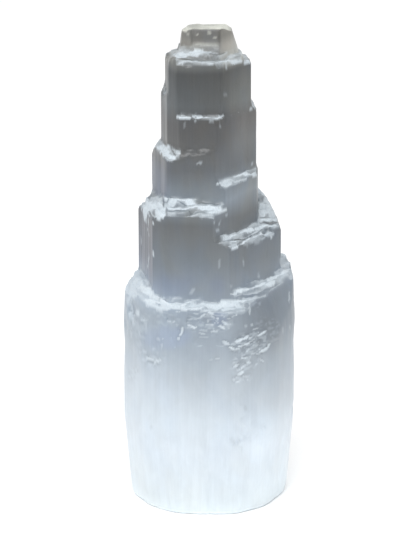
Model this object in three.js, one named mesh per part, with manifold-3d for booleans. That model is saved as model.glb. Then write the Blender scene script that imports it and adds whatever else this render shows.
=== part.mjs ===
// A selenite point: a stepped tower cut by hand from one log of satin spar, the fibrous form of gypsum.
// The fibres stand upright. Each step was sawn in from one side and split off down the grain, which leaves
// a grooved upright wall and a broken ledge, so the tower is the log less one notch for each step.
// Millimetres, +Z up, with the origin under the middle of the tower. The photographed side looks along -Y.
// A facing is an angle round the axis in degrees: 0 is the front, 90 the right, 180 the back, -90 the left.

import * as THREE from "three";
import { mergeVertices } from "three/addons/utils/BufferGeometryUtils.js";
import Module from "manifold-3d";

// Driving dimensions.
const HEIGHT = 151;
const CUT_TOP = HEIGHT + 10; // where the notches end, above the log
const CUT_REACH = 40; // how far a notch runs outwards and to each side

// The log, before the steps were cut: flats ground round it, at their distance from the axis.
const LOG_FLATS = [
  { facing: -2, distance: 22.6 },
  { facing: 34, distance: 23.9 },
  { facing: 63, distance: 24.6 },
  { facing: 96, distance: 26.8 },
  { facing: 140, distance: 24.6 },
  { facing: 180, distance: 23.4 },
  { facing: -140, distance: 24.8 },
  { facing: -98, distance: 25.9 },
  { facing: -62, distance: 25.0 },
  { facing: -32, distance: 24.2 },
];
const LOG_SHARPNESS = 26; // how crisply one flat turns into the next
const LOG_POINTS = 84; // round the outline
// The log swells above its foot: height, and its width as a share of the flats' distances.
const LOG_SWELL = [
  [0, 0.892],
  [0.8, 0.918],
  [3, 0.93],
  [9, 0.95],
  [18, 0.98],
  [27, 1.01],
  [41, 1.01],
  [50, 0.999],
  [57, 1.01],
  [64, 0.998],
  [72, 0.985],
  [HEIGHT, 0.98],
];

// Grain: the walls are grooved by bundles of fibres, and ledges break along them.
const BUNDLE = 2.2; // width of a bundle
const GROOVE = 0.16; // depth of the grooves between bundles
const LOG_GROOVE = 0.12;
const LEDGE_GRAIN = 1.05; // how far apart the points of a ledge are, outwards
const LEDGE_DEPTH = 8.4; // how far out a ledge is modelled as broken
const TERRACE = 1.7; // width of the terraces along a ledge
const TERRACE_DROP = 0.6;
const SPLINTER = 0.45; // how unevenly the fibres snapped

// One entry for each notch. wall is the distance of its upright face from the axis, and ledge the height
// where that face meets the ledge. The ledge falls outwards by fall and rises to the right by tilt, seen
// from outside, both in mm for each mm, and curl bends it further down towards its rim. The wall leans in
// by lean degrees. from and to end the notch along its wall, measured to the right from the middle, and top
// ends it below the tip. even is the share of the ledge's roughness that was ground away.
const BASE_STEPS = [
  { facing: 0, wall: 18.4, ledge: 68.8, fall: 0.3, tilt: -0.09, curl: 0.02 },
  { facing: -46, wall: 22.7, ledge: 70, fall: 1.5 },
  { facing: -77, wall: 19.8, ledge: 71.9, fall: 0.55, curl: 0.06 },
  { facing: 49, wall: 16.9, ledge: 72.1, fall: 0.3, tilt: 0.05 },
  { facing: 52, wall: 24.8, ledge: 56, fall: 0, lean: 16, top: 76 },
  { facing: 47, wall: 18.7, ledge: 70.2, fall: 0.3, tilt: 0.06, curl: 0.05 },
  { facing: 97, wall: 22.2, ledge: 73.9, fall: 0.4, tilt: 0.3, curl: 0.08, to: 11 },
  { facing: 136, wall: 20.2, ledge: 77.0, fall: 0.4, tilt: -0.05, curl: 0.06 },
  { facing: 182, wall: 18.6, ledge: 63.0, fall: 0.45, tilt: 0.04, curl: 0.04 },
  { facing: -130, wall: 20.6, ledge: 67.5, fall: 0.6, tilt: -0.08, curl: 0.06 },
];
const SECOND_STEPS = [
  { facing: 0, wall: 13.5, ledge: 98.7, fall: 0.35, tilt: -0.12 },
  { facing: 1, wall: 15.4, ledge: 97.3, fall: 0.3, tilt: -0.06, curl: 0.06 },
  { facing: -43, wall: 17.4, ledge: 99.6, fall: 0.45, tilt: -0.1, curl: 0.02 },
  { facing: -74, wall: 15.6, ledge: 98.8, fall: 0.95, tilt: 0.15, curl: 0.08 },
  { facing: 52.5, wall: 12.3, ledge: 88.3, fall: 0.3, to: 8.5 },
  { facing: 53, wall: 14.4, ledge: 86.9, fall: 0.35, tilt: -0.03, to: 10.5 },
  { facing: 75, wall: 14.6, ledge: 87.9, fall: 0.15, from: -8, to: 4.2 },
  { facing: 88, wall: 14.9, ledge: 88.2, fall: 0.05, tilt: 0.8, from: -1 },
  { facing: 98, wall: 15.5, ledge: 94.4, fall: 0, tilt: 0.22, curl: 0.17 },
  { facing: 140, wall: 15.6, ledge: 102.0, fall: 0.5, curl: 0.04 },
  { facing: 184, wall: 13.8, ledge: 88.5, fall: 0.4, tilt: -0.05, curl: 0.03 },
  { facing: -132, wall: 15.8, ledge: 94.0, fall: 0.5, tilt: 0.06, curl: 0.04 },
];
const THIRD_STEPS = [
  { facing: -3, wall: 12.6, ledge: 115.6, fall: 2.4, tilt: 0.05 },
  { facing: -50, wall: 14.4, ledge: 114.6, fall: 0.5, tilt: -0.2, curl: 0.03 },
  { facing: -76, wall: 14.0, ledge: 114.4, fall: 0.8, tilt: -0.1, curl: 0.1 },
  { facing: -100, wall: 14.2, ledge: 114.6, fall: 0.9, curl: 0.1 },
  { facing: 47, wall: 10.7, ledge: 105.9, fall: 1.4 },
  { facing: 92, wall: 14.6, ledge: 105.8, fall: 1.1 },
  { facing: 138, wall: 12.9, ledge: 117.5, fall: 0.5, tilt: 0.05, curl: 0.04 },
  { facing: 180, wall: 11.4, ledge: 107.5, fall: 0.4, curl: 0.03 },
  { facing: -135, wall: 12.9, ledge: 120.0, fall: 0.6, curl: 0.04 },
];
const FOURTH_STEPS = [
  { facing: 0, wall: 11.3, ledge: 125.4, fall: 0.7, from: -9.9 },
  { facing: 46, wall: 10.2, ledge: 124.9, fall: 0.8 },
  { facing: 92, wall: 12.8, ledge: 126.2, fall: 1.0 },
  { facing: -84, wall: 12.8, ledge: 130.8, fall: 0.5 },
  { facing: 140, wall: 10.8, ledge: 133.0, fall: 0.6 },
  { facing: 182, wall: 9.4, ledge: 126.5, fall: 0.5, tilt: 0.06 },
  { facing: -138, wall: 10.9, ledge: 134.0, fall: 0.6 },
];
const TIP_STEPS = [
  { facing: -3, wall: 7.9, ledge: 143.6, fall: 0.4, lean: 22 },
  { facing: 0, wall: 9.8, ledge: 141.8, fall: 0.5 },
  { facing: -46, wall: 8.6, ledge: 144.2, fall: 0.14, lean: 12 },
  { facing: -86, wall: 8.7, ledge: 143.9, fall: 0.45, curl: 0.08, lean: 5 },
  { facing: 44, wall: 8.0, ledge: 142.8, fall: 0.9, curl: 0.05, lean: 14 },
  { facing: 90, wall: 9.2, ledge: 142.6, fall: 0.75, curl: 0.05, lean: 17 },
  { facing: 138, wall: 7.6, ledge: 141.8, fall: 0.5, lean: 10 },
  { facing: 180, wall: 5.0, ledge: 142.6, fall: 0.5, lean: 10 },
  { facing: -136, wall: 7.4, ledge: 143.2, fall: 0.6, lean: 10 },
  { facing: 180, wall: -4.6, ledge: HEIGHT, fall: 0.09, even: 0.8 },
  { facing: -84, wall: 5.2, ledge: 150.6, fall: 0.45, even: 0.4 },
  { facing: 86, wall: 4.6, ledge: 150.6, fall: 0.5, even: 0.4 },
];
const STEPS = [...BASE_STEPS, ...SECOND_STEPS, ...THIRD_STEPS, ...FOURTH_STEPS, ...TIP_STEPS];

// Flakes knocked off the walls: where each is, its distance from the axis if it isn't on the log's side,
// and its width, height and depth. A scar is deepest at its foot, and turn raises the foot's right end.
const CHIPS = [
  { facing: -69, height: 64, size: [6, 8, 1.6], turn: -30 },
  { facing: -79, height: 57, size: [5, 6, 0.8], turn: 10 },
  { facing: -27, height: 65, size: [5.2, 4.6, 0.9], turn: 10 },
  { facing: -19, height: 62, size: [4.4, 6, 0.7], turn: -8 },
  { facing: -12, height: 64.4, size: [5.6, 5.4, 1.1], turn: 12 },
  { facing: 1, height: 64.6, size: [5.4, 5.8, 1.2], turn: -12 },
  { facing: 12, height: 64, size: [5.2, 5, 1.1], turn: 16 },
  { facing: -5, height: 58.4, size: [7, 4.6, 0.7], turn: 4 },
  { facing: 8, height: 57.6, size: [5, 4, 0.7], turn: -18 },
  { facing: -26, height: 57.8, size: [2.6, 6.4, 0.8], turn: 12 },
  { facing: -40, height: 55.4, size: [4, 5.4, 0.8], turn: -6 },
  { facing: -45, height: 49.6, size: [6.4, 5, 0.8], turn: 8 },
  { facing: -52, height: 63, size: [5, 4, 0.8], turn: 0 },
  { facing: 21, height: 58.6, size: [6.4, 4.4, 1.1], turn: 28 },
  { facing: 31, height: 59.4, size: [5.6, 3.6, 0.9], turn: 34 },
  { facing: 41, height: 60, size: [5, 3.4, 0.8], turn: 20 },
  { facing: 19, height: 53.8, size: [5.4, 3.6, 1], turn: 16 },
  { facing: 29, height: 54.6, size: [6, 3.4, 1.1], turn: 36 },
  { facing: 39, height: 55.4, size: [5.2, 3.4, 0.9], turn: 42 },
  { facing: 25, height: 49.8, size: [5.4, 3.4, 0.9], turn: 22 },
  { facing: 36, height: 50.6, size: [5, 3, 0.8], turn: 30 },
  { facing: 21, height: 45.8, size: [4.6, 3.4, 0.9], turn: 38 },
  { facing: 31, height: 45.6, size: [4.4, 3, 0.7], turn: 26 },
  { facing: 52, height: 63.6, size: [6, 4, 0.8], turn: 10 },
  { facing: 27, height: 31.4, size: [3.6, 4.6, 0.7], turn: 44 },
  { facing: 20, height: 23.6, size: [6.4, 5.2, 0.7], turn: 30 },
  { facing: 31, height: 24.4, size: [6, 5, 0.7], turn: 14 },
  { facing: -46, height: 27.4, size: [3, 4, 0.7], turn: -10 },
  { facing: 86, height: 27.4, size: [12, 4, 1], turn: 2 },
  { facing: 150, height: 52, size: [8, 12, 1.1], turn: 20 },
  { facing: -150, height: 30, size: [6, 9, 0.9], turn: -15 },
  { facing: 196, height: 44, size: [5, 7, 0.8], turn: 10 },
  { facing: 172, height: 55.6, size: [7, 6, 1], turn: -14 },
  { facing: -165, height: 57, size: [6, 5, 0.9], turn: 18 },
  { facing: -112, height: 50, size: [5, 8, 0.8], turn: 5 },
  { facing: 118, height: 64, size: [7, 6, 1], turn: -10 },
  { facing: -50, distance: 25.2, height: 92, size: [2.2, 6, 1.6], turn: 20 },
  { facing: -62, distance: 22.6, height: 92.4, size: [2, 5.4, 1.2], turn: -16 },
  { facing: 16, distance: 19.2, height: 92.6, size: [4, 3.4, 0.9], turn: 20 },
  { facing: 18, distance: 19.2, height: 88.2, size: [3.4, 2.6, 0.8], turn: -12 },
  { facing: -13, distance: 13.8, height: 110.6, size: [4, 2, 0.4], turn: 20 },
];

const radians = THREE.MathUtils.degToRad;

// A repeatable random number from 0 to 1 for each n.
function chance(n) {
  const x = Math.sin(n * 12.9898 + 4.1414) * 43758.5453;
  return x - Math.floor(x);
}

// A smooth random wave from -1 to 1. Whole numbers of x are its turning points.
function wave(x, seed) {
  const whole = Math.floor(x);
  const part = THREE.MathUtils.smoothstep(x - whole, 0, 1);
  return 2 * THREE.MathUtils.lerp(chance(whole + seed), chance(whole + 1 + seed), part) - 1;
}

// A closed geometry through rings of points, all with the same number of points, with a flat face at each end.
function loft(rings) {
  const count = rings[0].length;
  const positions = rings.flat().flatMap((p) => [p.x, p.y, p.z]);
  const index = [];
  for (let r = 0; r + 1 < rings.length; r++) {
    for (let i = 0; i < count; i++) {
      const a = r * count + i;
      const b = r * count + ((i + 1) % count);
      index.push(a, b, b + count, a, b + count, a + count);
    }
  }
  const last = (rings.length - 1) * count;
  for (const [a, b, c] of endFaces(rings[0])) index.push(a, c, b);
  for (const [a, b, c] of endFaces(rings.at(-1))) index.push(last + a, last + b, last + c);
  return new THREE.BufferGeometry()
    .setAttribute("position", new THREE.Float32BufferAttribute(positions, 3))
    .setIndex(index);
}

// The triangles that fill a nearly flat ring, as indices into it, turning the way that the ring does.
function endFaces(ring) {
  const normal = new THREE.Vector3();
  ring.forEach((p, i) => normal.add(new THREE.Vector3().crossVectors(p, ring[(i + 1) % ring.length])));
  const across = new THREE.Vector3().subVectors(ring[1], ring[0]).normalize();
  const up = new THREE.Vector3().crossVectors(normal, across).normalize();
  const flat = ring.map((p) => new THREE.Vector2(p.dot(across), p.dot(up)));
  return THREE.ShapeUtils.triangulateShape(flat, []);
}

const wasm = await Module();
wasm.setup();

// A closed geometry as a solid that can be cut.
function solid(geometry) {
  const bare = new THREE.BufferGeometry()
    .setAttribute("position", geometry.getAttribute("position"))
    .setIndex(geometry.index);
  const merged = mergeVertices(bare, 1e-4);
  return new wasm.Manifold(
    new wasm.Mesh({
      numProp: 3,
      vertProperties: merged.attributes.position.array,
      triVerts: new Uint32Array(merged.index.array),
    }),
  );
}

// The log's distance from its axis at a facing: a polygon of its flats, with softened corners.
function logRadius(facing) {
  let sum = 0;
  for (const flat of LOG_FLATS) {
    const toward = Math.cos(radians(facing - flat.facing));
    if (toward > 0) sum += (toward / flat.distance) ** LOG_SHARPNESS;
  }
  return sum ** (-1 / LOG_SHARPNESS);
}

// The log's width at a height, as a share of its flats' distances.
function logSwell(height) {
  const next = Math.max(1, LOG_SWELL.findIndex(([z]) => z >= height));
  const [z0, w0] = LOG_SWELL[next - 1];
  const [z1, w1] = LOG_SWELL[next];
  return THREE.MathUtils.mapLinear(height, z0, z1, w0, w1);
}

// A point at a facing, a distance from the axis and a height.
function around(facing, distance, height) {
  const angle = radians(facing);
  return new THREE.Vector3(Math.sin(angle) * distance, -Math.cos(angle) * distance, height);
}

function logSolid() {
  const rings = LOG_SWELL.map(([height, width], level) => {
    const ring = [];
    for (let i = 0; i < LOG_POINTS; i++) {
      const facing = (360 * i) / LOG_POINTS;
      const groove = LOG_GROOVE * (wave(i * 0.83, 7) + 0.5 * wave(i * 0.83 + 0.4 * level, 91));
      ring.push(around(facing, logRadius(facing) * width + groove, height));
    }
    return ring;
  });
  return solid(loft(rings));
}

// How far the broken ledge of a notch lies above its plane, at a place along the wall and outwards from it.
function ledgeBreak(along, out, seed) {
  const shifted = out + 0.8 * wave(along / 6, seed) + 0.3 * wave(along / 2.3, seed + 13);
  const terrace = -TERRACE_DROP * (Math.floor(shifted / TERRACE) - shifted / TERRACE + 0.5);
  const snapped = SPLINTER * wave(along / 1.6 + 0.35 * out, seed + 29) * wave(out / 1.5, seed + 53);
  const foot = Math.max(0, 1 - out / 1.2) * Math.max(0, wave(along / 1.9, seed + 71)) * 0.9;
  return terrace + snapped + foot;
}

// The solid that a step takes away: upright on its inner side, broken on its underside.
function notchSolid(step, number) {
  const { facing, wall, ledge, fall, tilt = 0, curl = 0, lean = 0, even = 0 } = step;
  const { from = -CUT_REACH, to = CUT_REACH, top = CUT_TOP } = step;
  const seed = 100 * (number + 1);
  const outward = around(facing, 1, 0);
  const right = around(facing + 90, 1, 0);
  const place = (along, out, height) =>
    new THREE.Vector3()
      .addScaledVector(right, along)
      .addScaledVector(outward, wall + out - Math.tan(radians(lean)) * Math.max(0, height - ledge))
      .setZ(height);
  const strips = Math.ceil((to - from) / BUNDLE);
  const rows = Math.round(LEDGE_DEPTH / LEDGE_GRAIN);
  const rings = [];
  for (let i = 0; i <= strips; i++) {
    const along = THREE.MathUtils.lerp(to, from, i / strips);
    const groove = GROOVE * (wave(i * 0.7, seed + 3) + 0.6 * wave(i * 1.9, seed + 5));
    const slope = (out) => ledge - fall * out - curl * out ** 2 + tilt * along;
    const heightAt = (out) => slope(out) + (1 - even) * ledgeBreak(along, out, seed);
    const ring = [place(along, groove, top), place(along, groove, heightAt(0))];
    for (let row = 1; row <= rows; row++) {
      const out = row * LEDGE_GRAIN;
      ring.push(place(along, out, heightAt(out)));
    }
    ring.push(place(along, CUT_REACH, heightAt(LEDGE_DEPTH) - fall * CUT_REACH));
    ring.push(place(along, CUT_REACH, top));
    rings.push(ring);
  }
  return solid(loft(rings));
}

// The flake that a knock took off: a leaf of stone with a jagged outline, thick at its foot.
function chipSolid({ facing, distance, height, size, turn }, number) {
  const [width, tall, depth] = size;
  const corners = 7;
  const rings = [[], []];
  for (let i = 0; i < corners; i++) {
    const angle = (2 * Math.PI * i) / corners;
    const reach = 0.78 + 0.4 * chance(number * corners + i);
    const x = (width / 2) * reach * Math.cos(angle);
    const z = (tall / 2) * reach * Math.sin(angle);
    const inside = depth * (0.45 - (0.6 * z) / tall) + 0.12 * depth * wave(i, number);
    rings[0].push(new THREE.Vector3(x, inside, z));
    rings[1].push(new THREE.Vector3(x, -3, z));
  }
  const centre = around(facing, distance ?? logRadius(facing) * logSwell(height), height);
  const flake = loft(rings)
    .rotateY(radians(-turn))
    .rotateZ(radians(facing))
    .translate(centre.x, centre.y, centre.z);
  return solid(flake);
}

function pointGeometry() {
  let body = logSolid();
  STEPS.forEach((step, number) => {
    body = body.subtract(notchSolid(step, number));
  });
  CHIPS.forEach((chip, number) => {
    body = body.subtract(chipSolid(chip, number));
  });
  const { vertProperties, triVerts } = body.getMesh();
  const geometry = new THREE.BufferGeometry()
    .setAttribute("position", new THREE.BufferAttribute(vertProperties, 3))
    .setIndex(new THREE.BufferAttribute(triVerts, 1));
  geometry.computeBoundingBox();
  const middle = geometry.boundingBox.getCenter(new THREE.Vector3());
  geometry.translate(-middle.x, -middle.y, 0);
  geometry.computeVertexNormals();
  return geometry;
}

const satinSpar = new THREE.MeshStandardMaterial({
  color: new THREE.Color().setRGB(0.62, 0.66, 0.69, THREE.SRGBColorSpace),
  roughness: 0.45,
  metalness: 0,
  flatShading: true,
});

const point = new THREE.Mesh(pointGeometry(), satinSpar);
point.name = "selenite_point";

const tower = new THREE.Group();
tower.add(point);

export default tower;
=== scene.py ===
import math

import bmesh
import bpy
import numpy as np
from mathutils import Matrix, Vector


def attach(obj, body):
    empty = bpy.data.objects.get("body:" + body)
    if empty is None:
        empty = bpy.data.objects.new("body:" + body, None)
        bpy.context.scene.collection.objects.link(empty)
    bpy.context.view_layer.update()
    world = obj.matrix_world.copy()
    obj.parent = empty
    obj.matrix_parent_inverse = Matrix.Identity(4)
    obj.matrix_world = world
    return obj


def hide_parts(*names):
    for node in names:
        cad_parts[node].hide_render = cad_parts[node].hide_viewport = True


# A selenite point in Blender, in metres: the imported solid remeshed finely, with broken ledges, chips and
# fibre grooves, one satin spar material, a pale floor, soft light and the photograph's camera.

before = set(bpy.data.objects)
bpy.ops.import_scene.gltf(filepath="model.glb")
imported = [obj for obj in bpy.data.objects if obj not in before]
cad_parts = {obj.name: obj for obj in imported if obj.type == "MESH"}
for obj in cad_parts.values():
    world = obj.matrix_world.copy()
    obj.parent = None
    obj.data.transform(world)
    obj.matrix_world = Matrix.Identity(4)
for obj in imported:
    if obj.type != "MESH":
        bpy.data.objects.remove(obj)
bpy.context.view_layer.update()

NODE = "selenite_point"
MM = 0.001

# Camera, found from the photograph.
ELEVATION = 18
DISTANCE = 0.9
AIM = Vector((-0.25, -0.4, 75)) * MM
LENS = 196.4
SENSOR = 36
PHOTO = (420, 534)  # pixels
SHIFT = (1.5 / PHOTO[1], -2.66 / PHOTO[1])

# Mesh: fine across the fibres, coarser along them, and finest where the stone is broken.
VOXEL = 0.55 * MM
ALONG = 0.6  # the share of that fineness which is kept along the fibres
WELD = 0.001 * MM  # points closer than this are one
FOOT_SKIN = 0.1 * MM  # faces lower than this that look down are the flat foot

# Places on the stone, in mm.
TALL = 151.0
BASE_RIM = 66.0  # below it there are no ledges
RIM_DROP = 8.0  # how far the ledges of the base fall below its rim
LEDGES_FROM = (BASE_RIM - 9, BASE_RIM - 5)  # where the base's side turns into its ledges
CHIPPED = (40.0, 68.0)  # the band of the base that is chipped most
CHIPPED_FRONT = -12.0  # its chips are in front of this
CHIPPED_LEFT = -14.0  # and right of this
TIP = (146.0, 147.5)  # where the blunt top starts
FRONT_ENDS = 8.0  # marks read from the photograph stay in front of this
SEEN_LEDGE = 0.05  # and on ledges that turn at least this far to the camera
SEEN_WALL = 0.3  # and walls that turn this far

# Ledges, by how far their normals rise: where the mesh is finest, and where a face starts to be part of
# one and where it fully is.
LEDGE_FACING = 0.4
LEDGE_RISE = (0.26, 0.5)
TIP_RISE = (0.6, 0.8)
STEP = 1.9  # mm, the height of the small steps that a ledge breaks into

# Depths, in mm.
FROST_DEPTH = 0.22
NICK_DEPTH = 0.2
# The walls' grooves: depth and width in mm, width as a share of length, and seed.
GROOVES = [
    (0.04, 2.6, 0.035, 21),
    (0.025, 1.2, 0.035, 22),
    (0.12, 9.0, 0.3, 23),
]

# Ledges that stay as clear as the walls: from and to in height, right of and in front of, in mm, and how far.
CLEAR_LEDGES = [
    (137, 146, -30, 4, 0.35),
    (110, 120, -9, 0, 0.97),
    (128, 135, -30, 4, 0.5),
]
# The clearest ledge gets painted shade where it faces up to the light, to keep it as dark as the walls.
CLEAR_FRONT = (110, 120, -8, 0)  # the clearest of them, which is also as dark as the walls
PAINTED_SHADE_ON_CLEAR_LEDGE = 0.26  # and how much darker that makes it
RIPPLE_WHITE = 0.34  # how white the ripples round the flakes are

# Walls, by how far their normals turn to the right: where they start to be meant, and where they fully are.
RIGHT = (0.3, 0.7)
LEFT = (-0.3, -0.7)
FAR_LEFT = (-0.8, -0.95)
# Painted light and shade on the sides and facets, partly slow changes in how clear the stone is: how much
# lighter it gets, on which walls, and where the change comes in across, upwards and downwards, in mm.
PAINTED_LIGHT_AND_CLEARNESS = [
    # The base.
    (-0.31, None, (4, 17), (48, 62), (74, 66)),
    (0.12, None, (19, 25), (51, 57), (74, 66)),
    (0.16, None, (-3, -16), (30, 44), (74, 66)),
    (0.08, None, (-14, -22), (52, 58), (74, 66)),
    (-0.06, None, (8, 20), (26, 36), (74, 66)),
    (0.14, None, (4, 18), (1, 6), (34, 20)),
    # Painted light on the lowest millimetres of the foot, against the shade where it meets the floor.
    (0.12, None, None, None, (6, 0)),
    (0.28, None, None, None, (1.3, 0.3)),
    # The rim and the second tier.
    (0.07, None, (-6, -12), (64, 68), (77, 70)),
    (0.15, None, (-13, -17), (64, 68), (77, 70)),
    (-0.42, FAR_LEFT, None, (70, 80), (112, 94)),
    (0.22, RIGHT, None, (84, 92), (118, 108)),
    # The upper tiers.
    (0.75, RIGHT, (3, 10), (108, 118), None),
    (0.15, LEFT, None, (110, 116), None),
    (0.25, FAR_LEFT, None, (110, 116), None),
    (0.2, LEFT, (-10.5, -13), (108, 114), None),
    (-0.08, None, None, (114, 120), (141, 138)),
    # The tip.
    (1.1, RIGHT, None, (139, 142), None),
    (0.9, LEFT, None, (145, 147), None),
]
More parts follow.
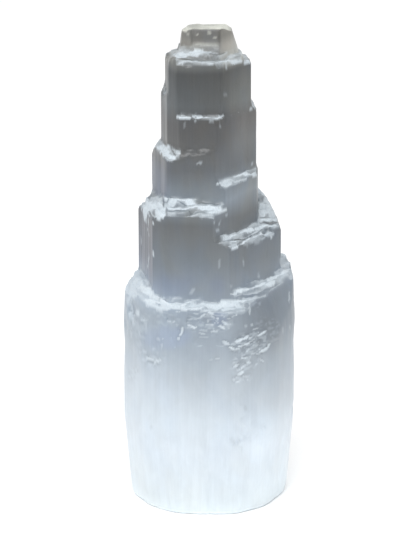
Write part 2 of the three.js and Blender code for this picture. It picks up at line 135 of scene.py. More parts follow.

# Where the stone is frosted white, and the dark lines between broken steps, partly painted shade in their
# cracks: the mark's middle in the photograph's pixels, half its length and half its thickness, its turn and
# its strength.
FROST = [
    # The tip and its ledge.
    (188, 33.5, 1.6, 1.6, 0, 0.30), (196.5, 34, 1.7, 1.6, 0, 0.45), (209.5, 33, 1.5, 1.8, -20, 0.35),
    (214.5, 37.5, 1.7, 1.8, 0, 0.35), (186, 31.5, 2, 1, 30, 0.5), (188, 54.5, 16, 2.6, 2, 0.8),
    (197, 51.5, 8, 2, 10, 0.9), (199, 49.5, 1.5, 1.2, 0, 0.7), (180, 56, 7, 2.4, 0, 0.8),
    (203, 53.5, 4, 2, -8, 0.8), (186, 63, 8, 0.5, 0, 0.7), (197, 63, 4, 0.8, 0, 0.8),
    (207, 64, 7, 1.3, -3, 0.65), (210, 61, 6, 1, 0, 0.6), (222, 62, 8, 1.5, 10, 0.75),
    (226, 66, 1, 3.5, 0, 0.4), (236, 62, 8, 1.8, 0, 0.75), (246, 62, 4, 1.7, 0, 0.8),
    (232, 56.5, 4, 2, 30, 0.6), (241, 54, 3, 1.5, -20, 0.5), (245.5, 57, 2.5, 2, -30, 0.45),
    # The fourth tier's ledge, and faint streaks below it.
    (178, 116.5, 2, 1.6, -50, 0.8), (184, 118.2, 8, 1.7, 3, 1.0), (194, 115.5, 2.5, 0.7, 15, 0.8),
    (199, 117, 5, 1.5, 5, 1.0), (211, 117.5, 11, 1.2, -2, 1.0), (221, 116.5, 3.5, 0.8, 25, 0.8),
    (195.5, 121.5, 1.6, 1.2, 30, 0.35), (212, 120.3, 7, 0.7, 0, 0.35), (184.5, 124.5, 1, 3.5, 0, 0.2),
    (220, 126.5, 1, 3, 0, 0.25), (225, 94, 2, 2, 0, 0.15), (251, 108, 1.2, 2.2, -40, 0.6),
    (165, 92, 2, 1, 30, 0.4),
    # The third tier's left patch and right ledge.
    (163, 147.5, 7, 2.5, 5, 0.9), (165, 152, 5, 4.5, 0, 0.9), (171, 157, 5, 1.5, -20, 0.95),
    (178, 152.5, 2.2, 3, 20, 0.75), (157, 150, 4, 2, 35, 0.6), (198.5, 163.2, 3, 0.7, 12, 0.4),
    (203.5, 164.3, 3, 0.7, -25, 0.4), (226, 184, 6, 3.4, 15, 0.85), (228, 180.5, 7, 0.8, 3, 0.8),
    (220, 183.3, 3, 0.5, 0, 0.8), (244, 174.7, 11, 0.9, 10, 1.0), (240, 180, 9, 0.9, 8, 0.7),
    (254, 174, 3, 2.4, 20, 0.75),
    # The second tier's left patch and front ledge.
    (152, 206, 9, 5, 0, 0.75), (160, 212.5, 5.5, 7, 0, 0.95), (152, 221, 3, 1.2, -50, 0.85),
    (148.5, 217, 1, 4.5, 0, 0.8), (144, 211, 4, 5, 0, 0.8), (166, 199.5, 2, 1.2, -20, 0.95),
    (181, 200.5, 13, 1.1, -4, 0.95), (172, 202.5, 5, 2.5, 0, 0.9), (191, 203, 6, 1.3, -3, 1.0),
    (186, 201, 4, 0.8, 0, 0.8), (180, 208.6, 14, 1.7, 0, 1.0), (203, 207.8, 13, 1.9, -3, 1.0),
    (220, 209.8, 9, 1.6, -5, 1.0), (170, 213.5, 4, 2, -3, 0.45), (214, 212.3, 7, 2.2, -3, 0.95),
    (156, 207, 8, 4, 0, 0.95), (218, 220.5, 4, 0.7, 12, 0.5), (217, 223.3, 3, 0.6, -10, 0.35),
    (218, 230.3, 4, 0.8, -5, 0.4), (227, 215.5, 1.6, 0.8, 0, 0.35), (149, 232.5, 4, 0.8, 0, 0.45),
    (148, 229, 2, 0.7, 0, 0.35),
    # The second tier's right shoulder and right ledge.
    (267, 206, 7, 9, -20, 0.75), (262, 211, 4, 7, 0, 0.85), (272, 214, 4, 4, 0, 0.7),
    (267, 219.8, 8, 0.9, 5, 0.95), (230, 236.5, 8, 1.2, 16, 0.95), (246, 231.3, 9, 1.6, 18, 1.0),
    (262, 226.5, 8, 1.7, 12, 0.95), (272, 226, 5, 1.8, 5, 1.0), (231, 241.6, 6, 0.8, 0, 0.95),
    (236, 246.3, 5.5, 1.1, 25, 1.0), (246, 241.3, 6, 1.1, 27, 1.0), (257, 236.5, 7, 1.1, 22, 0.95),
    (268, 232.3, 5, 1.1, 18, 0.9), (256, 231, 6, 0.8, 20, 0.8), (271, 234, 1.6, 4, 0, 0.6),
    (258, 240.5, 7, 2.2, 20, 0.35), (246, 245, 3, 1.4, 0, 0.3),
    # Scratches on the second tier's walls.
    (150, 260, 1.6, 3.5, 20, 1.0), (146, 267, 2.5, 1.2, 0, 0.7), (153, 254, 1.3, 2.5, 0, 0.8),
    (243.5, 262, 0.8, 3, 0, 0.32), (219, 263, 0.7, 4, 0, 0.25), (259, 277, 1.2, 4, 8, 0.3),
    (192, 292, 1.2, 3.5, -30, 0.32), (231, 286, 1.2, 1.5, 0, 0.2),
    # The rim of the base.
    (285, 261, 5, 9, 0, 0.6), (285, 271.5, 6, 1.7, 35, 0.95), (273, 278, 8, 1.8, 30, 1.0),
    (259, 285, 9, 1.6, 20, 1.0), (244, 290, 9, 1.5, 12, 1.0), (234, 293, 4, 0.9, 15, 0.95),
    (270, 284, 6, 2.2, 25, 0.9), (268, 289, 5, 1.5, 25, 0.3), (221, 301, 1.4, 1.6, 40, 1.0),
    (228, 303.5, 9, 3.8, 3, 1.0), (229, 309, 8, 1.8, 3, 0.85), (241, 300.8, 8, 1.8, 8, 1.0),
    (250, 299, 5, 1.2, 15, 0.8), (256, 297, 5, 1.5, 25, 0.5), (238, 306, 5, 2, -30, 0.85),
    (250, 311, 0.9, 4, -5, 0.5), (289, 297, 0.8, 6, 0, 0.5), (290, 327, 0.8, 3, 0, 0.3),
    (147, 291, 9, 4, -35, 1.0), (138, 283, 6, 5, -50, 0.8), (133, 291, 4, 8, 0, 0.7),
    (129, 301, 3, 5, 0, 0.6), (154, 297, 6, 2.4, -20, 0.95), (150, 301, 7, 3, -10, 1.0),
    (162, 302, 9, 2, -5, 1.0), (178, 303.6, 14, 2.5, -4, 1.0), (200, 305.2, 13, 2.5, -4, 1.0),
    (214, 306.3, 8, 2.5, -3, 1.0), (152, 305.5, 9, 2, -6, 0.85), (168, 307.2, 13, 2.3, -2, 0.9),
    (190, 308.6, 13, 2, -2, 0.9), (210, 309.8, 8, 1.2, 0, 0.75), (161, 310.2, 7, 0.8, 0, 0.6),
    (182, 311, 6, 0.7, 5, 0.6), (135, 311, 7, 3, -55, 0.7), (144, 320, 5, 1, 5, 0.45),
    (133, 322, 1.5, 5, 10, 0.4), (131, 335, 1.2, 4, -5, 0.35), (139, 333, 2.5, 1.2, 30, 0.3),
    (146, 326, 1, 3, 0, 0.25),
    # Small flakes below the rim.
    (194, 327.5, 3.4, 1, 0, 0.85), (214.5, 331.5, 4.5, 1.2, 8, 0.6), (203, 315.5, 3.5, 1.1, 30, 0.75),
    (207, 314.5, 3, 1, -20, 0.45), (198, 318.5, 4, 0.7, 12, 0.45), (190, 319.5, 3, 0.7, 0, 0.45),
    (211, 313.5, 3.5, 1.6, -20, 0.85), (213, 317, 3.4, 1, -30, 0.7), (217.5, 318.5, 1.5, 1, 0, 1.0),
    (225, 323, 3.4, 1.2, -30, 0.75), (222, 327, 3.4, 1.4, -20, 0.75), (217, 322, 3, 0.8, -40, 0.45),
    (223, 316, 3, 0.8, -30, 0.45), (229, 318.5, 2, 0.7, 0, 0.55), (187, 323, 4, 0.6, 0, 0.3),
    (193, 332, 5, 0.6, 0, 0.25), (202, 333.5, 4, 0.9, -5, 0.4), (204, 337, 5, 0.6, 0, 0.25),
    (208, 321, 1.3, 2, 0, 0.4), (177, 325, 1.5, 1.5, 0, 0.2), (196, 314, 4, 0.8, -15, 0.5),
    (234, 316, 3, 0.7, 20, 0.4), (228, 313.5, 3, 0.7, -15, 0.5),
    # The left side of the base.
    (182, 330.5, 1.2, 4, -8, 0.85), (180.5, 334.5, 1, 2.2, -30, 0.8), (178.5, 338.5, 1.6, 1.7, 0, 0.6),
    (160, 338.3, 4, 1.1, 0, 0.4), (162, 346, 1.2, 3, 0, 0.28), (149, 359, 6, 1.6, -3, 0.8),
    (158, 360.5, 3.5, 1.5, 15, 0.8), (154.5, 363.5, 2, 1.4, 40, 0.65), (136, 369.5, 2.4, 1.4, 40, 0.4),
    (130, 376, 4, 1.5, 0, 0.35), (143, 352, 4, 1.1, 0, 0.3), (283, 330, 1, 4, 0, 0.2),
    # The flakes on the right side of the base.
    (239, 340.3, 4.4, 1.3, 25, 1.0), (246, 337.6, 3.8, 1.2, 30, 1.0), (243, 339, 4, 0.7, 15, 0.6),
    (232, 348.3, 4, 1.3, -25, 1.0), (237, 349.3, 3.4, 1, 10, 1.0), (241, 346.3, 3.4, 1, 10, 0.9),
    (247, 344.5, 4, 1.2, 20, 0.95), (226, 343, 4.5, 1.8, -25, 0.65), (234, 344, 4, 0.8, 10, 0.45),
    (262, 333.5, 5.4, 1.3, 33, 1.0), (256, 328.5, 3.5, 0.9, 20, 0.5), (252, 325, 1.6, 1.9, 0, 0.4),
    (246, 326, 1.8, 1.9, 0, 0.28), (264, 350, 6, 1.4, 32, 1.0), (269, 345, 2.4, 1.2, 60, 0.8),
    (256, 345.5, 3.5, 0.8, 0, 0.5), (252, 341, 5, 0.7, 28, 0.45), (254, 334, 1.8, 2.6, 0, 0.25),
    (244, 358.3, 3.4, 1.1, 0, 1.0), (249, 362.5, 2.6, 1.4, 0, 0.7), (236, 366, 4, 1.4, 32, 0.85),
    (234, 362.5, 1.6, 1.3, 0, 0.45), (241, 373.5, 4.2, 1.6, 25, 1.0), (234, 379.5, 1.4, 1.5, 0, 0.5),
    (253, 353.5, 3, 1, 0, 0.5), (258, 354, 2, 0.9, -10, 0.5), (262, 360.5, 2.6, 1, -30, 0.55),
    (246, 377, 2.5, 1, 10, 0.35), (217.5, 358.5, 2.2, 1.1, 0, 0.4), (211, 359.5, 2, 0.9, 0, 0.22),
]
# Dark lines between broken steps, partly painted shade in their cracks.
GAP_SHADE_MARKS = [
    # The tip's ledge and the fourth tier.
    (168.3, 59, 2.2, 7, 0, 0.9), (173.5, 63, 2.2, 3, 0, 0.9), (173, 60.5, 2.2, 4, -25, 0.9),
    (181, 65.6, 6, 1.2, 0, 1.0), (173, 64, 2, 2, 0, 1.0), (205, 65.6, 10, 0.9, 0, 0.9),
    (186, 53.2, 3, 0.6, 5, 0.6), (187, 60, 10, 1.3, -1, 1.0), (200, 59.7, 7, 1.1, -4, 0.8),
    (206, 57, 3, 1.5, 0, 0.5), (202, 62, 5, 0.6, -3, 0.8), (216, 62.4, 4, 0.5, 0, 0.5),
    (217, 54.5, 8, 3, 8, 0.75), (240, 57.6, 7, 0.7, -5, 0.3), (233, 113, 6, 1.5, 0, 0.9),
    # The third tier.
    (173, 151.5, 6, 0.8, -62, 0.7), (192, 151.5, 10, 3.5, 0, 0.5), (240, 178, 7, 0.5, 10, 0.3),
    # The second tier's left patch and front ledge.
    (155, 194.5, 8, 2.5, 15, 0.8), (163.6, 203.5, 1, 5, 0, 0.9), (150.5, 214, 3.5, 1, -65, 1.0),
    (153.5, 219.5, 2.6, 1.1, -50, 1.0), (183.5, 203.8, 4, 0.8, -10, 0.75), (175, 205.6, 6, 0.6, 0, 0.6),
    (180, 211.8, 13, 0.8, 0, 0.7), (186, 214, 11, 1.6, 0, 0.5), (200, 213.5, 7, 1.5, -3, 0.5),
    (208, 202.3, 13, 2.2, -4, 1.0), (166.8, 212, 0.7, 5, 0, 0.7), (208, 219, 8, 1.4, 0, 0.9),
    # The second tier's right side.
    (263, 204.5, 6, 0.5, 8, 0.35), (265, 217, 5, 0.7, 8, 0.6), (269, 222.3, 10, 1.1, 3, 1.0),
    (238, 229.6, 14, 1.7, 20, 0.9), (247, 225.5, 8, 1.8, 22, 0.9), (216, 240, 4.5, 4.5, 0, 0.95),
    (239, 239.5, 8, 0.8, 8, 1.0), (248.5, 237.2, 5, 0.7, 28, 1.0), (229, 239.8, 4, 0.5, 10, 0.8),
    (240, 242.8, 3, 0.7, 20, 0.8), (257, 233.3, 7, 0.6, 22, 0.7), (266, 229.3, 6, 0.6, 15, 0.6),
    # The rim of the base.
    (284, 257, 5, 0.6, 30, 0.5), (285, 263.3, 4, 0.5, 5, 0.4), (284, 268, 4, 0.5, 20, 0.5),
    (243, 285, 12, 2.0, 16, 1.0), (264, 277.5, 12, 1.9, 20, 1.0), (274, 271, 6, 1.5, 30, 0.9),
    (247, 296, 14, 1.4, 8, 1.0), (264, 292, 9, 2.6, 28, 0.8), (260, 299, 6, 2, 20, 0.8),
    (247, 305.5, 2.6, 2.6, 50, 0.8), (247, 311, 2, 3, 0, 0.6), (218.5, 302, 1.3, 1.7, 40, 0.9),
    (176, 297.6, 9, 1.7, -3, 1.0), (195, 298.4, 10, 1.6, -5, 1.0), (209, 300.3, 8, 1.3, -4, 1.0),
    (140.5, 307, 7, 2, -60, 0.85),
]
# Where the flakes are set in ripples of lighter and darker stone, in the photograph's pixels as above.
HAZE = [
    (209, 322, 25, 12, 2, 0.8), (160, 319, 22, 8, 0, 0.4), (138, 330, 9, 26, 0, 0.4),
    (151, 361, 10, 6, 0, 0.7), (250, 343, 21, 12, 20, 0.8), (242, 366, 12, 15, 0, 0.6),
    (268, 330, 14, 14, 0, 0.4), (134, 374, 8, 7, 0, 0.4), (252, 302, 10, 9, 30, 0.6),
]
# Where the stone leans to lilac, in the photograph's pixels as above.
LILACS = [
    (166, 338, 26, 12, 0, 0.38), (218, 286, 7, 11, 0, 0.38), (219, 319, 9, 7, 0, 0.45),
    (165, 178, 6, 22, 0, 0.38), (172, 285, 22, 11, 0, 0.38),
]
# Dark specks, and painted shade for small pits, low on the base, in the photograph's pixels as above.
SPECKS_AND_PIT_SHADE = [
    (245.5, 408, 2.2, 2.2, 40, 0.13), (241, 405, 3, 1, 20, 0.05), (236, 428, 5, 3, -60, 0.05),
    (232, 441, 3.5, 2, -50, 0.09), (238, 446, 5, 2, -20, 0.07), (248, 440, 6, 1.5, -30, 0.05),
    (151, 428, 1.8, 1.8, 0, 0.1), (150, 417, 1.5, 3.5, 0, 0.05), (258, 425, 10, 4, -20, 0.03),
]
BELOW_RIM = 313  # the row of the photograph below which these marks have softer edges

# Scratches on the sides and the back: facing in degrees, height, half the width and half the height in mm,
# turn and strength.
SCRATCHES = [
    (-64, 87.3, 1.5, 0.3, 4, 0.5), (-69, 88.5, 1.0, 0.25, -6, 0.45), (-66, 78.3, 0.7, 1.3, 18, 0.9),
    (-71, 76.3, 1.3, 0.4, 20, 0.7), (-62, 80.4, 0.5, 0.9, 0, 0.7), (-65, 91.3, 0.6, 1.5, -25, 0.8),
    (-80, 93.2, 4.0, 3.4, -6, 0.9), (-95, 82.0, 0.4, 1.6, 6, 0.5), (-118, 74.5, 1.2, 0.4, 12, 0.5),
    (-150, 106, 0.4, 1.4, -5, 0.4), (172, 83.5, 0.4, 1.7, 4, 0.5), (150, 121, 1.0, 0.3, -10, 0.5),
    (128, 79.0, 0.4, 1.3, 10, 0.4), (102, 92.5, 0.4, 1.5, 0, 0.45), (95, 34.0, 1.0, 0.5, 25, 0.4),
    (84, 108, 0.9, 0.3, 14, 0.4),
]
# Clusters of flakes: facing, height, their spread in degrees and mm, how many, and turn.
FLAKES = [
    (31, 53, (5, 3.0), 5, 28),
    (30, 28, (6, 2.6), 5, 20),
    (150, 58, (14, 3.5), 14, 0),
    (-150, 52, (12, 6.0), 12, 10),
    (-100, 58, (10, 5.0), 8, -10),
]
# Bruised patches: facing, height, half width and half height in mm, the strokes' turn, and their depth.
BRUISES = [
    (-2, 62, 9, 4.0, 4, 0.18),
    (31, 54, 6.5, 6.5, 27, 0.26),
    (24, 47, 3.5, 4.5, 30, 0.24),
    (-43, 51, 6, 4.0, 4, 0.16),
    (-72, 59, 5, 5.0, -12, 0.22),
    (27, 27, 5, 4.0, 30, 0.16),
    (158, 57, 14, 6.0, 6, 0.3),
    (-140, 50, 12, 9.0, 10, 0.25),
    (100, 62, 8, 5.0, -10, 0.25),
]

# Painted light: the foot is painted near white for a glow of light from below, and the tiers above are
# darker.
# The stone's colour from its foot to its tip: height in mm and linear red, green and blue.
CLOUD_AND_PAINTED_GLOW = [
    (0, (0.60, 0.66, 0.69)),
    (21, (0.55, 0.61, 0.665)),
    (31, (0.49, 0.55, 0.605)),
    (45, (0.34, 0.385, 0.43)),
    (56, (0.245, 0.285, 0.325)),
    (68, (0.20, 0.24, 0.285)),
    (80, (0.125, 0.147, 0.168)),
    (93, (0.082, 0.092, 0.10)),
    (100, (0.15, 0.175, 0.195)),
    (109, (0.078, 0.086, 0.092)),
    (123, (0.055, 0.056, 0.057)),
    (128, (0.066, 0.073, 0.075)),
    (139, (0.040, 0.043, 0.043)),
    (143, (0.11, 0.115, 0.11)),
    (146, (0.11, 0.11, 0.105)),
    (149, (0.065, 0.066, 0.062)),
    (151, (0.07, 0.07, 0.066)),
]
# Tints, which the colour is multiplied by.
WARM = (1.035, 1.0, 0.955, 1)
COOL = (0.965, 0.995, 1.045, 1)
LILAC = (0.88, 0.935, 1.13, 1)
# Broken fibres, and those at the tip.
WHITE = (0.52, 0.58, 0.625, 1)
CREAM = (0.50, 0.51, 0.46, 1)

# The floor.
FLOOR_SIZE = 3.0
FLOOR_GAP = 0.05 * MM
FLOOR_COLOUR = (0.93, 0.93, 0.93, 1)


# Repeatable noise, called with places divided by the size of its features

def lattice(cell, seed):
    """A random number from 0 to 1 for each whole-number cell."""
    h = np.full(cell.shape[0], (seed * 0x9E3779B1) & 0xFFFFFFFF, np.uint32)
    for axis in range(cell.shape[1]):
        h ^= cell[:, axis].astype(np.int64).astype(np.uint32) * np.uint32(0x85EBCA6B)
        h = (h ^ (h >> np.uint32(13))) * np.uint32(0xC2B2AE35)
        h ^= h >> np.uint32(16)
    return h.astype(np.float64) / 0xFFFFFFFF


def noise(p, seed):
    """Smooth noise from -1 to 1, with one turning point for each unit of p."""
    whole = np.floor(p).astype(np.int64)
    part = p - whole
    part = part * part * (3 - 2 * part)
    total = np.zeros(p.shape[0])
    for corner in np.ndindex(*(2,) * p.shape[1]):
        offset = np.array(corner)
        weight = np.prod(np.where(offset, part, 1 - part), axis=1)
        total += weight * lattice(whole + offset, seed)
    return 2 * total - 1


def ease(x, low, high):
    """0 up to low, 1 from high on, smooth between. Where high is the lower one it runs the other way."""
    t = np.clip((x - low) / (high - low), 0, 1)
    return t * t * (3 - 2 * t)


def share(x, limits):
    """How far x has gone from the first limit to the second, or 1 everywhere where there are none."""
    return 1.0 if limits is None else ease(x, *limits)


# The stone's mesh

def remeshed():
    """The CAD solid as an even, fine mesh."""
    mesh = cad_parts[NODE].data.copy()
    bm = bmesh.new()
    bm.from_mesh(mesh)
    bmesh.ops.remove_doubles(bm, verts=bm.verts, dist=WELD)
    bmesh.ops.scale(bm, vec=(1, 1, ALONG), verts=bm.verts)
    bm.to_mesh(mesh)
    bm.free()
    draft = bpy.data.objects.new("draft", mesh)
    bpy.context.scene.collection.objects.link(draft)
    remesh = draft.modifiers.new("remesh", "REMESH")
    remesh.mode = "VOXEL"
    remesh.voxel_size = VOXEL
    fine = bpy.data.meshes.new_from_object(draft.evaluated_get(bpy.context.evaluated_depsgraph_get()))
    bpy.data.objects.remove(draft)
    bm = bmesh.new()
    bm.from_mesh(fine)
    bmesh.ops.scale(bm, vec=(1, 1, 1 / ALONG), verts=bm.verts)
    bm.normal_update()
    faces = [f for f in bm.faces if is_broken(f.normal, f.calc_center_median() / MM)]
    edges = {e for f in faces for e in f.edges}
    bmesh.ops.subdivide_edges(bm, edges=list(edges), cuts=1, use_grid_fill=True)
    foot = [f for f in bm.faces if f.normal.z < -0.999 and f.calc_center_median().z < FOOT_SKIN]
    bmesh.ops.dissolve_faces(bm, faces=foot, use_verts=True)
    bm.to_mesh(fine)
    bm.free()
    return fine


def is_broken(normal, centre):
    """Whether a face is part of a ledge or of the chipped front of the base."""
    on_ledge = normal.z > LEDGE_FACING and centre.z > BASE_RIM - RIM_DROP
    in_band = CHIPPED[0] < centre.z < CHIPPED[1]
    return on_ledge or (in_band and centre.y < CHIPPED_FRONT and centre.x > CHIPPED_LEFT)


def points(mesh):
    """The vertices' places, in mm."""
    p = np.empty(len(mesh.vertices) * 3)
    mesh.vertices.foreach_get("co", p)
    return p.reshape(-1, 3) / MM


def normals(mesh):
    """The vertices' normals."""
    n = np.empty(len(mesh.vertices) * 3)
    mesh.vertex_normals.foreach_get("vector", n)
    return n.reshape(-1, 3)


def put(mesh, p):
    """Moves the vertices to places in mm."""
    mesh.vertices.foreach_set("co", (p * MM).ravel())
    mesh.update()


def smoothed(mesh, values, rounds):
    """Values averaged over neighbouring vertices."""
    e = np.empty(len(mesh.edges) * 2, np.int64)
    mesh.edges.foreach_get("vertices", e)
    e = e.reshape(-1, 2)
    count = np.bincount(e.ravel(), minlength=len(values))[:, None]
    for _ in range(rounds):
        total = np.zeros_like(values)
        for axis in range(values.shape[1]):
            total[:, axis] = (np.bincount(e[:, 0], values[e[:, 1], axis], len(values))
                              + np.bincount(e[:, 1], values[e[:, 0], axis], len(values)))
        values = (values + total / np.maximum(count, 1)) / 2
    return values


def terraced(mesh):
    """Breaks the ledges into uneven steps and snapped bundles of fibres.

    Returns, for each vertex, how much it is part of a ledge, how much of a crack between two steps, and
    a random number from 0 to 1 that it shares with the rest of its step."""
    p, n = points(mesh), normals(mesh)
    tip = ease(p[:, 2], *TIP)
    rise = smoothed(mesh, n, 1)[:, 2]
    ledge = ease(rise, *LEDGE_RISE) * (1 - tip) + ease(rise, *TIP_RISE) * tip
    ledge *= ease(p[:, 2], *LEDGES_FROM)
    drift = (1.6 * noise(p[:, :2] / 10.0, 11) + 0.3 * noise(p[:, :2] / 3.0, 12)
             + 0.07 * noise(p[:, :2] / 0.8, 14))
    level = (p[:, 2] + drift) / STEP
    part = level - np.floor(level)
    tread = np.floor(level) + ease(part, 0.38, 0.62)
    strength = np.clip(0.5 + 0.6 * noise(p / 4.0, 13), 0, 1)
    lift = strength * (tread * STEP - drift - p[:, 2])
    lift += 0.16 * noise(p[:, :2] / 1.0, 17) + 0.2 * noise(p[:, :2] / 2.0, 18)
    p[:, 2] += ledge * lift * (1 - 0.8 * tip)
    put(mesh, p)
    crack = ease(1 - np.abs(part - 0.45) / 0.17, 0, 0.8) * ease(strength, 0.35, 0.7)
    level_tone = lattice(np.stack([np.floor(level + 0.5), np.floor(p[:, 0] / 11)], 1), 15)
    return ledge, crack * (1 - tip), level_tone


def scars():
    """Small flakes knocked off the base: facing and height, then half width, half height, depth and turn."""
    draw = np.random.default_rng(8)
    made = []
    for facing, height, spread, count, turn in FLAKES:
        for _ in range(count):
            made.append((facing + spread[0] * draw.normal(), height + spread[1] * draw.normal(),
                         draw.uniform(0.7, 1.9), draw.uniform(0.5, 1.1), draw.uniform(0.25, 0.6),
                         turn + 18 * draw.normal()))
    return made


def seen(p):
    """Where each point shows in the photograph, in its pixels."""
    up, aim = math.radians(ELEVATION), np.array(AIM) / MM
    x, y, z = (p - aim).T
    away = DISTANCE / MM + y * math.cos(up) - z * math.sin(up)
    size = LENS / SENSOR * PHOTO[1] / away
    return (PHOTO[0] / 2 - SHIFT[0] * PHOTO[1] + size * x,
            PHOTO[1] / 2 + SHIFT[1] * PHOTO[1] - size * (z * math.cos(up) + y * math.sin(up)))


def turned(u, v, degrees):
    """Two coordinates in axes turned by an angle."""
    c, s = math.cos(math.radians(degrees)), math.sin(math.radians(degrees))
    return u * c + v * s, v * c - u * s


def around(p, where, height):
    """How far each point is to the right of, and above, a place on the stone's side, in mm."""
    facing = np.degrees(np.arctan2(p[:, 0], -p[:, 1]))
    apart = (facing - where + 180) % 360 - 180
    return np.radians(apart) * np.hypot(p[:, 0], p[:, 1]), p[:, 2] - height


def in_view(p, n):
    """Which vertices face the photograph's camera, on the front of the stone."""
    up = math.radians(ELEVATION)
    facing = n[:, 2] * math.sin(up) - n[:, 1] * math.cos(up)
    return (p[:, 1] < FRONT_ENDS) & (facing > np.where(n[:, 2] > 0.3, SEEN_LEDGE, SEEN_WALL))


def marked(mesh, marks, seed):
    """How strongly each vertex carries marks that are listed by where the photograph shows them."""
    p, n = points(mesh), normals(mesh)
    across, down = seen(p)
    front = in_view(p, n)
    ragged = 0.3 * noise(p / np.array([1.6, 1.6, 0.6]), seed) + 0.15 * noise(p / 0.6, seed + 2)
    total = np.zeros(len(p))
    for x, y, long, thick, turn, strength in marks:
        near = front & (np.hypot(across - x, down - y) < 1.5 * max(long, thick) + 1)
        u, v = turned(across[near] - x, y - down[near], turn)
        inside = 1.25 - (u / long) ** 2 - (v / thick) ** 2 + ragged[near]
        soft = np.where(down[near] > BELOW_RIM, 0.75, 0.5)
        total[near] = np.maximum(total[near], strength * ease(inside / soft, 0, 1))
    return total


def mottled(mesh):
    """Small ripples of lighter and darker stone round the flakes, from -1 to 1."""
    p = points(mesh)
    return marked(mesh, HAZE, 40) * np.clip(2.2 * noise(p / np.array([1.3, 1.3, 0.5]), 42), -1, 1)


def lilac(mesh):
    """How much each vertex leans to lilac: the far left walls of two tiers, and some clouds."""
    p, n = points(mesh), normals(mesh)
    walls = ease(n[:, 0], *FAR_LEFT) * ease(p[:, 2], 70, 78) * ease(p[:, 2], 112, 106)
    clouds = smoothed(mesh, marked(mesh, LILACS, 46)[:, None], 6)[:, 0]
    return np.maximum(walls, clouds)


def scratched(mesh):
    """How strongly each vertex carries the scratches of the sides and the back."""
    p = points(mesh)
    ragged = 0.45 * noise(p / 0.8, 38)
    total = np.zeros(len(p))
    for where, height, wide, tall, turn, strength in SCRATCHES:
        u, v = turned(*around(p, where, height), turn)
        inside = 1.1 - (u / wide) ** 2 - (v / tall) ** 2 + ragged
        total = np.maximum(total, strength * ease(inside, 0, 0.5))
    return total


def chipped(mesh, frost):
    """Sinks what is frosted on the base, knocks flakes off it and bruises it with small strokes."""
    p, n = points(mesh), normals(mesh)
    radius = np.hypot(p[:, 0], p[:, 1])
    ragged = 0.35 * noise(p / 0.9, 41)
    sunk = FROST_DEPTH * frost
    for where, height, wide, tall, deep, turn in scars():
        near = np.abs(p[:, 2] - height) < 4
        u, v = turned(*around(p[near], where, height), turn)
        inside = ease(1 - (u / wide) ** 2 - (v / tall) ** 2 + ragged[near], 0, 0.5)
        deepest_below = np.clip(0.6 - 0.5 * v / tall, 0, 1)
        sunk[near] = np.maximum(sunk[near], deep * inside * deepest_below)
    for where, height, wide, tall, turn, depth in BRUISES:
        u, v = around(p, where, height)
        here = ease(1 - (u / wide) ** 2 - (v / tall) ** 2 + 0.5 * noise(p / 2.5, 43), 0, 0.7)
        along, across = turned(u, v, turn)
        strokes = noise(np.stack([along / 2.1, across / 0.6, radius / 8], 1), 44)
        strokes += 0.5 * noise(np.stack([along / 0.9, across / 0.42], 1), 45)
        sunk = np.maximum(sunk, depth * here * ease(strokes, -0.3, 1.0))
    outer = ease(1 - np.abs(n[:, 2]), 0.3, 0.7) * (p[:, 2] < BASE_RIM + 3)
    p -= n * (sunk * outer)[:, None]
    put(mesh, p)


def grooved(mesh):
    """Grooves the walls along the fibres and roughens them."""
    p, n = points(mesh), normals(mesh)
    wall = ease(1 - np.abs(n[:, 2]), 0.3, 0.8) * ease(p[:, 2], 0.3, 3)
    groove = sum(depth * noise(p * np.array([1, 1, along]) / width, seed)
                 for depth, width, along, seed in GROOVES)
    nick = NICK_DEPTH * ease(noise(p * np.array([1, 1, 0.22]) / 1.1, 24), 0.55, 0.9)
    groove -= nick * ease(noise(p / 9.0, 25), 0.0, 0.5)
    groove *= 1 - 0.6 * ease(-n[:, 0], 0.4, 0.8)
    p += n * (groove * wall)[:, None]
    put(mesh, p)


def within(p, low, high, right_of, front_of):
    """Which points are between two heights, right of one place and in front of another, in mm."""
    return (p[:, 2] > low) & (p[:, 2] < high) & (p[:, 0] > right_of) & (p[:, 1] < front_of)


def whiteness(mesh, ledge, crack, tone, frost, gap_shade):
    """How white each place is where its fibres are broken across, with painted highlights where chips turn up
    and painted shade in the cracks.
    """
    p, n = points(mesh), normals(mesh)
    up = n[:, 2]
    gap = np.maximum(0.85 * crack, ease(-up, -0.4, -0.05))
    strips = 0.86 + 0.25 * noise(p / np.array([7, 7, 0.8]), 31) + 0.3 * noise(p / np.array([6, 6, 0.3]), 36)
    strips += 0.2 * (tone - 0.5) + 0.08 * noise(p[:, :2] / 1.2, 32)
    bare = np.ones(len(p))
    for low, high, right_of, front_of, clear in CLEAR_LEDGES:
        bare[within(p, low, high, right_of, front_of)] = 1 - clear
    broad = smoothed(mesh, up[:, None], 14)[:, 0]
    # Chips: white where freshly broken, with a painted highlight where they turn up more than the stone round
    # them.
    chip_white_and_highlight = ease(up - broad, 0.06, 0.3) * ease(p[:, 2], BASE_RIM + 3, BASE_RIM) * ease(p[:, 2], 4, 12)
    chip_white_and_highlight *= 0.35 + 0.65 * ease(noise(p / np.array([1.6, 1.6, 0.8]), 33), -0.5, 0.3)
    plain = 1 - 0.4 * in_view(p, n) * ease(p[:, 2], 146, 140)
    white = np.maximum(ledge * (1 - 0.85 * gap) * strips * bare * plain, 0.8 * chip_white_and_highlight)
    # The painted shade of the cracks takes the white away.
    return np.clip(np.maximum(white, frost) * (1 - gap_shade), 0, 1)


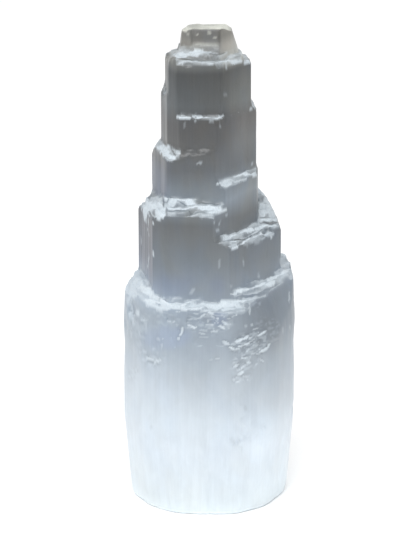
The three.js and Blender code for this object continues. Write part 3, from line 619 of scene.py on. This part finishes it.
def shade(mesh, frost, ripples):
    """Painted light and shade, partly slow changes in how clear the stone is, as a factor on its colour, with
    painted shadows round flakes and over small pits.
    """
    p, n = points(mesh), normals(mesh)
    factor = np.ones(len(p))
    for lighter, walls, across, upwards, downwards in PAINTED_LIGHT_AND_CLEARNESS:
        on_wall = share(n[:, 0], walls) * share(p[:, 0], across)
        factor += lighter * on_wall * share(p[:, 2], upwards) * share(p[:, 2], downwards)
    # Painted shade on the clearest ledge, where it faces up.
    factor -= PAINTED_SHADE_ON_CLEAR_LEDGE * ease(n[:, 2], 0.15, 0.4) * within(p, *CLEAR_FRONT)
    # Painted shadows round the flakes: darker next to them than on them.
    near = smoothed(mesh, frost[:, None], 4)[:, 0]
    factor *= 1 - 0.9 * np.clip(near - frost, 0, 0.3) * ease(p[:, 2], 64, 60)
    factor *= 1 - 0.1 * np.clip(-ripples, 0, 1)
    # Dark specks and the painted shade of small pits.
    factor *= 1 - marked(mesh, SPECKS_AND_PIT_SHADE, 39)
    return factor * (1 + 0.05 * noise(p / 14.0, 51))


def give(mesh, name, values):
    """Keeps a number for each vertex, for the material to read."""
    mesh.attributes.new(name, "FLOAT", "POINT").data.foreach_set("value", values)


def dress():
    """The stone as one piece: its mesh broken, chipped and grooved, and what its material reads from it."""
    mesh = remeshed()
    ripples = mottled(mesh)
    frost = np.maximum(marked(mesh, FROST, 34), scratched(mesh))
    frost = np.maximum(frost, RIPPLE_WHITE * ripples)
    gap_shade = marked(mesh, GAP_SHADE_MARKS, 35)
    ledge, crack, tone = terraced(mesh)
    chipped(mesh, frost)
    grooved(mesh)
    give(mesh, "broken", whiteness(mesh, ledge, crack, tone, frost, gap_shade))
    give(mesh, "shade", shade(mesh, frost, ripples))
    give(mesh, "lilac", lilac(mesh))
    mesh.polygons.foreach_set("use_smooth", np.ones(len(mesh.polygons), bool))
    piece = bpy.data.objects.new("satin_spar_tower", mesh)
    bpy.context.scene.collection.objects.link(piece)
    return piece


# Material

class Nodes:
    """Short calls for making and linking shader nodes."""

    def __init__(self, name):
        self.material = bpy.data.materials.new(name)
        self.material.use_nodes = True
        self.tree = self.material.node_tree
        self.shader = self.tree.nodes["Principled BSDF"]
        self.place = None  # the socket that gives noise its places

    def add(self, kind, inputs=None, **settings):
        node = self.tree.nodes.new(kind)
        for key, value in settings.items():
            setattr(node, key, value)
        for key, value in (inputs or {}).items():
            self.set(node.inputs[key], value)
        return node

    def set(self, socket, value):
        if isinstance(value, bpy.types.NodeSocket):
            self.tree.links.new(value, socket)
        else:
            socket.default_value = value

    def math(self, operation, a, b=0.0, clamp=False):
        return self.add("ShaderNodeMath", {0: a, 1: b}, operation=operation, use_clamp=clamp).outputs[0]

    def noise(self, scale, detail=2.0, rough=0.5, distort=0.0):
        """Noise over the object. scale gives the size of its features in mm along x, y and z."""
        stretch = self.add("ShaderNodeMapping", {"Vector": self.place,
                                                 "Scale": [1 / (s * MM) for s in scale]})
        made = self.add("ShaderNodeTexNoise", {"Vector": stretch.outputs[0], "Scale": 1.0,
                                               "Detail": detail, "Roughness": rough,
                                               "Distortion": distort})
        return made.outputs["Fac"]

    def span(self, value, low, high, to_low=0.0, to_high=1.0):
        node = self.add("ShaderNodeMapRange", {"Value": value, "From Min": low, "From Max": high,
                                               "To Min": to_low, "To Max": to_high})
        node.interpolation_type = "SMOOTHSTEP"
        return node.outputs["Result"]

    def mix(self, factor, a, b, blend="MIX"):
        node = self.add("ShaderNodeMix", data_type="RGBA", blend_type=blend, clamp_factor=True)
        for socket, value in ((node.inputs[0], factor), (node.inputs[6], a), (node.inputs[7], b)):
            self.set(socket, value)
        return node.outputs[2]


def satin_spar():
    """Milky, silky stone with upright fibres, white where it is broken, with light and shade painted into its
    colour.
    """
    n = Nodes("satin_spar")
    n.place = n.add("ShaderNodeTexCoord").outputs["Object"]
    z = n.add("ShaderNodeSeparateXYZ", {0: n.place}).outputs["Z"]

    # Cloudiness and a painted glow of light from below: near white at the foot, clearer and darker towards
    # the tip, with drifting borders.
    drift = n.math("SUBTRACT", n.noise((24, 24, 30), 2.0), 0.5)
    height = n.math("ADD", z, n.math("MULTIPLY", drift, 8 * MM))
    rise = n.math("DIVIDE", height, TALL * MM, clamp=True)
    ramp = n.add("ShaderNodeValToRGB", {0: rise})
    stops = ramp.color_ramp.elements
    while len(stops) < len(CLOUD_AND_PAINTED_GLOW):
        stops.new(0.5)
    for stop, (mm, _) in zip(stops, CLOUD_AND_PAINTED_GLOW):
        stop.position = mm / TALL
    for stop, (_, tone) in zip(stops, CLOUD_AND_PAINTED_GLOW):
        stop.color = (*tone, 1)
    colour = ramp.outputs[0]

    # Fibres: silky streaks along the grain, in bundles and in single threads.
    bundles = n.span(n.noise((1.5, 1.5, 60), 3.0, 0.6), 0.3, 0.7, 0.98, 1.02)
    threads = n.span(n.noise((0.35, 0.35, 18), 2.0, 0.6), 0.3, 0.7, 0.985, 1.015)
    patches = n.span(n.noise((5, 5, 8), 4.0, 0.6, 0.6), 0.3, 0.7, 0.97, 1.03)
    # The shade attribute: painted light and shade on the sides and facets, partly how clear the stone is.
    clearness_and_painted_light = n.add("ShaderNodeAttribute", attribute_name="shade").outputs["Fac"]
    streaks_and_painted_light = n.math("MULTIPLY", n.math("MULTIPLY", bundles, threads),
                     n.math("MULTIPLY", patches, clearness_and_painted_light))
    grey = n.add("ShaderNodeCombineColor", {0: streaks_and_painted_light, 1: streaks_and_painted_light, 2: streaks_and_painted_light}).outputs[0]
    colour = n.mix(1.0, colour, grey, "MULTIPLY")
    tint = n.span(n.noise((9, 9, 14), 2.0, 0.5, 0.4), 0.35, 0.65)
    tinted = n.mix(1.0, colour, n.mix(tint, WARM, COOL), "MULTIPLY")
    colour = n.mix(n.span(z, 55 * MM, 95 * MM, 0.2, 1.0), colour, tinted)
    leaning = n.add("ShaderNodeAttribute", attribute_name="lilac").outputs["Fac"]
    colour = n.mix(leaning, colour, n.mix(1.0, colour, LILAC, "MULTIPLY"))

    # Broken fibres scatter light and look white.
    broken = n.add("ShaderNodeAttribute", attribute_name="broken").outputs["Fac"]
    grain = n.noise((0.5, 0.5, 0.9), 3.0, 0.65)
    white = n.math("MULTIPLY", broken, n.span(grain, 0.25, 0.6, 0.75, 1.0), clamp=True)
    cream = n.span(z, 144 * MM, 147 * MM)
    colour = n.mix(white, colour, n.mix(cream, WHITE, CREAM))

    n.set(n.shader.inputs["Base Color"], colour)
    polish = n.span(n.noise((0.8, 0.8, 25), 3.0), 0.3, 0.7, 0.30, 0.46)
    rough = n.add("ShaderNodeMix", {0: white, 2: polish, 3: 0.68}, data_type="FLOAT").outputs[0]
    n.set(n.shader.inputs["Roughness"], rough)
    n.shader.inputs["IOR"].default_value = 1.52
    n.shader.inputs["Subsurface Weight"].default_value = 0.2
    n.shader.inputs["Subsurface Radius"].default_value = (1.0, 1.05, 1.1)
    n.shader.inputs["Subsurface Scale"].default_value = 2.5 * MM

    # Relief: fibre ends on what is broken, fine grooves elsewhere.
    fibre = n.noise((0.45, 0.45, 14), 3.0, 0.6)
    crumb = n.noise((0.45, 0.45, 0.8), 4.0, 0.7)
    relief = n.add("ShaderNodeMix", {0: white, 2: n.math("MULTIPLY", fibre, 0.35), 3: crumb},
                   data_type="FLOAT").outputs[0]
    bump = n.add("ShaderNodeBump", {"Height": relief, "Strength": 0.4, "Distance": 0.3 * MM})
    n.set(n.shader.inputs["Normal"], bump.outputs[0])
    return n.material


# Light, floor and camera

def aimed(thing, place, target):
    """Puts a lamp or the camera in its place and turns it to its target."""
    thing.location = place
    thing.rotation_euler = (target - place).to_track_quat("-Z", "Y").to_euler()
    bpy.context.scene.collection.objects.link(thing)


def softbox(name, place, size, watts):
    """A soft lamp that looks at the stone."""
    light = bpy.data.lights.new(name, "AREA")
    light.shape = "RECTANGLE"
    light.size, light.size_y = size
    light.energy = watts
    aimed(bpy.data.objects.new(name, light), Vector(place), AIM)


def studio():
    """A white surrounding, one soft lamp, a pale floor and the photograph's camera."""
    scene = bpy.context.scene
    world = bpy.data.worlds.new("studio")
    world.use_nodes = True
    world.node_tree.nodes["Background"].inputs["Color"].default_value = (1, 1, 1, 1)
    world.node_tree.nodes["Background"].inputs["Strength"].default_value = 1.0
    scene.world = world
    scene.view_settings.view_transform = "Standard"
    scene.view_settings.look = "None"
    softbox("key", place=(-0.12, -0.5, 0.8), size=(0.6, 0.5), watts=5.0)

    bm = bmesh.new()
    bmesh.ops.create_grid(bm, x_segments=1, y_segments=1, size=FLOOR_SIZE)
    mesh = bpy.data.meshes.new("floor")
    bm.to_mesh(mesh)
    bm.free()
    floor = bpy.data.objects.new("floor", mesh)
    floor.location.z = -FLOOR_GAP
    scene.collection.objects.link(floor)
    n = Nodes("floor")
    n.shader.inputs["Base Color"].default_value = FLOOR_COLOUR
    n.shader.inputs["Roughness"].default_value = 0.9
    n.shader.inputs["Specular IOR Level"].default_value = 0.1
    mesh.materials.append(n.material)

    camera = bpy.data.cameras.new("camera")
    camera.lens = LENS
    camera.sensor_width = SENSOR
    camera.shift_x, camera.shift_y = SHIFT
    camera.clip_start, camera.clip_end = 0.05, 20
    up = math.radians(ELEVATION)
    eye = bpy.data.objects.new("camera", camera)
    aimed(eye, AIM + DISTANCE * Vector((0, -math.cos(up), math.sin(up))), AIM)
    scene.camera = eye


tower = dress()
tower.data.materials.clear()
tower.data.materials.append(satin_spar())
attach(tower, "root")
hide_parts(NODE)
studio()

bpy.context.view_layer.update()
